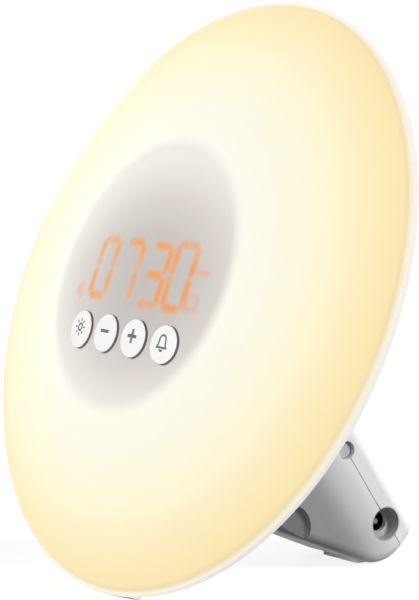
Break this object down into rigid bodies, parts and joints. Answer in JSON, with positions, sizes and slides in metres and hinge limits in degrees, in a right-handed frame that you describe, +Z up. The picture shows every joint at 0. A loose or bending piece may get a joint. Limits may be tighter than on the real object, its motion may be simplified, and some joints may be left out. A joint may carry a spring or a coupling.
{
  "type": "sunrise alarm clock",
  "caption": "Round tilted sunrise alarm clock: domed glowing diffuser over a lit clock display and a row of push keys, shallow back bowl, wedge-shaped leg with speaker slots and power socket.",
  "frame": {"origin": "middle of the front foot, on the surface the clock stands on", "axes": "+Z up, the clock faces -Y, +X to the right of its face as the user sees it"},
  "size_m": [0.188, 0.1093, 0.1752],
  "materials": {
    "diffuser": "milky translucent, satin",
    "shell": "white, satin gloss",
    "leg": "white, satin gloss",
    "key_white": "white face, grey flank",
    "key_grey": "light grey",
    "inner_white": "white, matte",
    "inner_black": "black, matte",
    "digit": "lit amber",
    "board": "green solder mask",
    "board_white": "white solder mask",
    "emitter": "pale yellow phosphor",
    "steel": "zinc plated",
    "contact": "plated contact",
    "can": "satin",
    "magnet": "dark, matte",
    "rubber": "grey, matte",
    "lead": "black, satin",
    "cone": "coated paper"
  },
  "bodies": {
    "housing": {"backup_capacitor": "can", "board_screws": "steel", "controller_chip": "inner_black", "cover_screws": "steel", "dc_jack_body": "inner_black", "dc_jack_pin": "contact", "display_digits": "digit", "display_module": "inner_black", "front_diffuser": "diffuser", "jack_board": "board", "jack_board_screws": "steel", "lamp_lead": "lead", "lead_header": "inner_white", "lead_plug": "inner_white", "led_board": "board_white", "led_emitters": "emitter", "light_shield": "inner_white", "main_pcb": "board", "power_lead": "lead", "rear_housing": "shell", "reflector": "inner_white", "reflector_screws": "steel", "rim_foot": "rubber", "side_switch": "inner_black", "speaker_frame": "steel", "speaker_gasket": "rubber", "speaker_lead": "lead", "speaker_magnet": "magnet", "speaker_screws": "steel", "stand_back_cover": "leg", "stand_body": "leg", "stand_foot": "rubber", "stand_screws": "steel", "tact_switch_alarm": "inner_black", "tact_switch_light": "inner_black", "tact_switch_minus": "inner_black", "tact_switch_plus": "inner_black"},
    "light_key": {"button_light": "key_white", "plunger_light": "inner_black"},
    "minus_key": {"button_minus": "key_white", "plunger_minus": "inner_black"},
    "plus_key": {"button_plus": "key_white", "plunger_plus": "inner_black"},
    "alarm_key": {"button_alarm": "key_white", "plunger_alarm": "inner_black"},
    "side_key": {"side_button": "key_grey", "side_plunger": "inner_black"},
    "speaker_diaphragm": {"speaker_cone": "cone"}
  },
  "joints": [
    {"name": "light_press", "type": "slide", "parent": "housing", "child": "light_key", "axis": [0, 0.9272, -0.3746], "range_m": [0, 0.0005], "stiffness_N_per_m": 1500},
    {"name": "minus_press", "type": "slide", "parent": "housing", "child": "minus_key", "axis": [0, 0.9272, -0.3746], "range_m": [0, 0.0005], "stiffness_N_per_m": 1500},
    {"name": "plus_press", "type": "slide", "parent": "housing", "child": "plus_key", "axis": [0, 0.9272, -0.3746], "range_m": [0, 0.0005], "stiffness_N_per_m": 1500},
    {"name": "alarm_press", "type": "slide", "parent": "housing", "child": "alarm_key", "axis": [0, 0.9272, -0.3746], "range_m": [0, 0.0005], "stiffness_N_per_m": 1500},
    {"name": "side_press", "type": "slide", "parent": "housing", "child": "side_key", "axis": [-1, 0, 0], "range_m": [0, 0.0005], "stiffness_N_per_m": 1500},
    {"name": "cone_stroke", "type": "slide", "parent": "housing", "child": "speaker_diaphragm", "axis": [0, -0.8261, -0.5635], "range_m": [-0.0004, 0.0004], "stiffness_N_per_m": 1000}
  ]
}
